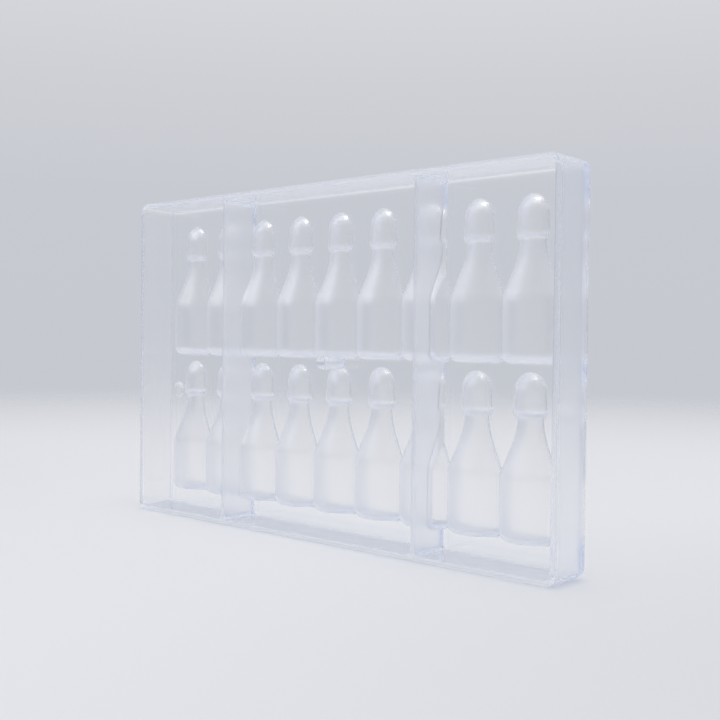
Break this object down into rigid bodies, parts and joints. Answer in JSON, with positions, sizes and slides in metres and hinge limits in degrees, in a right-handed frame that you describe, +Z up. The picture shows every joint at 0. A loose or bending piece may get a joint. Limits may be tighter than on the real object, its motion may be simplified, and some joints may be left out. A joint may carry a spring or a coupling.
{
  "type": "chocolate mould",
  "caption": "Clear moulded tray with rows of half-bottle cavities, a deep skirt and cross ribs, for casting solid or hollow chocolates.",
  "frame": {"origin": "on the surface the tray stands on, under the middle of its long edge", "axes": "+X along the tray's length, +Y out of the flat filling face, +Z up across its width"},
  "size_m": [0.275, 0.024, 0.175],
  "materials": {
    "clear_plastic": "polished, crystal clear"
  },
  "bodies": {
    "root": {"mould": "clear_plastic"}
  },
  "joints": []
}
